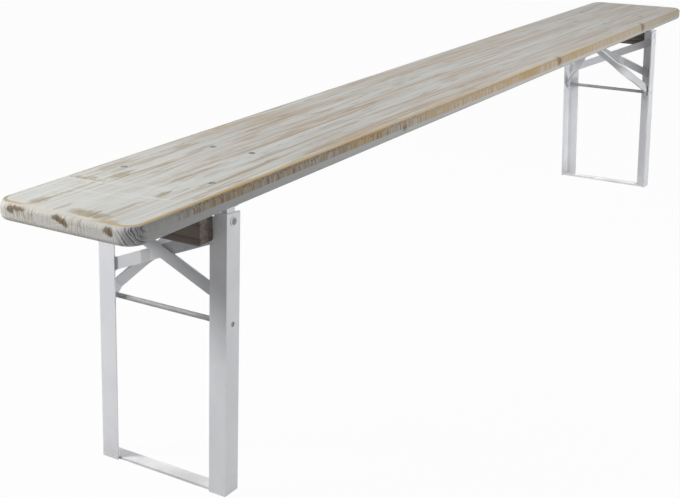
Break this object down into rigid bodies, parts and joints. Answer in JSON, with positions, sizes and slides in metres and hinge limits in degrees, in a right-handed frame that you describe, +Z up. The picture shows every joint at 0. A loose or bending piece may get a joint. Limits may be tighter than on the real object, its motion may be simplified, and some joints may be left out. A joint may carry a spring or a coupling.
{
  "type": "folding bench",
  "caption": "Long narrow folding bench: a wooden plank seat on two splayed steel leg frames that fold flat beneath it, each held open by a V-shaped brace.",
  "frame": {"origin": "on the floor, centred under the plank in length and width", "axes": "+X along the bench, +Y across it, +Z up; the two ends are alike, turned half a turn about Z"},
  "size_m": [2.2, 0.25, 0.46],
  "materials": {
    "plank_wood": "worn whitewash over softwood, matt",
    "batten_wood": "dark raw wood, matt",
    "coated_steel": "pale grey powder coat, satin",
    "zinc": "zinc plate, satin",
    "spring_steel": "drawn wire"
  },
  "bodies": {
    "seat": {"seat_plank": "plank_wood", "left_batten": "batten_wood", "left_batten_screws": "zinc", "left_hinge_strap": "coated_steel", "left_hinge_bolts": "zinc", "left_catch_bracket": "coated_steel", "left_catch_bolts": "zinc", "left_latch_pivot": "zinc", "left_latch_spring": "spring_steel", "right_batten": "batten_wood", "right_batten_screws": "zinc", "right_hinge_strap": "coated_steel", "right_hinge_bolts": "zinc", "right_catch_bracket": "coated_steel", "right_catch_bolts": "zinc", "right_latch_pivot": "zinc", "right_latch_spring": "spring_steel"},
    "left_leg": {"left_front_upright": "coated_steel", "left_rear_upright": "coated_steel", "left_foot_strip": "coated_steel", "left_outer_cross_strip": "coated_steel", "left_inner_cross_strip": "coated_steel", "left_tie_rod": "coated_steel", "left_rod_spacers": "zinc", "left_hinge_pins": "coated_steel"},
    "left_brace": {"left_front_brace_arm": "coated_steel", "left_rear_brace_arm": "coated_steel", "left_brace_clip": "coated_steel", "left_brace_rivet": "zinc", "left_lock_bar": "zinc"},
    "left_latch": {"left_latch_lever": "zinc"},
    "right_leg": {"right_front_upright": "coated_steel", "right_rear_upright": "coated_steel", "right_foot_strip": "coated_steel", "right_outer_cross_strip": "coated_steel", "right_inner_cross_strip": "coated_steel", "right_tie_rod": "coated_steel", "right_rod_spacers": "zinc", "right_hinge_pins": "coated_steel"},
    "right_brace": {"right_front_brace_arm": "coated_steel", "right_rear_brace_arm": "coated_steel", "right_brace_clip": "coated_steel", "right_brace_rivet": "zinc", "right_lock_bar": "zinc"},
    "right_latch": {"right_latch_lever": "zinc"}
  },
  "joints": [
    {"name": "left_leg_fold", "type": "hinge", "parent": "seat", "child": "left_leg", "pos_m": [-0.892, 0, 0.4125], "axis": [0, -1, 0], "range_deg": [0, 94.3]},
    {"name": "left_brace_fold", "type": "hinge", "parent": "left_leg", "child": "left_brace", "pos_m": [-0.90332, 0, 0.26192], "axis": [0, 1, 0], "range_deg": [0, 138]},
    {"name": "left_latch_swing", "type": "hinge", "parent": "seat", "child": "left_latch", "pos_m": [-0.7, 0.021, 0.427], "axis": [0, 0, -1], "range_deg": [0, 18], "stiffness_Nm_per_rad": 0.05, "springref_deg": -20.05},
    {"name": "right_leg_fold", "type": "hinge", "parent": "seat", "child": "right_leg", "pos_m": [0.892, 0, 0.4125], "axis": [0, 1, 0], "range_deg": [0, 94.3]},
    {"name": "right_brace_fold", "type": "hinge", "parent": "right_leg", "child": "right_brace", "pos_m": [0.90332, 0, 0.26192], "axis": [0, -1, 0], "range_deg": [0, 138]},
    {"name": "right_latch_swing", "type": "hinge", "parent": "seat", "child": "right_latch", "pos_m": [0.7, -0.021, 0.427], "axis": [0, 0, -1], "range_deg": [0, 18], "stiffness_Nm_per_rad": 0.05, "springref_deg": -20.05}
  ],
  "couplings": [
    {"joint": "left_brace_fold", "follows": "left_leg_fold", "ratio": 1.4603},
    {"joint": "right_brace_fold", "follows": "right_leg_fold", "ratio": 1.4603}
  ]
}
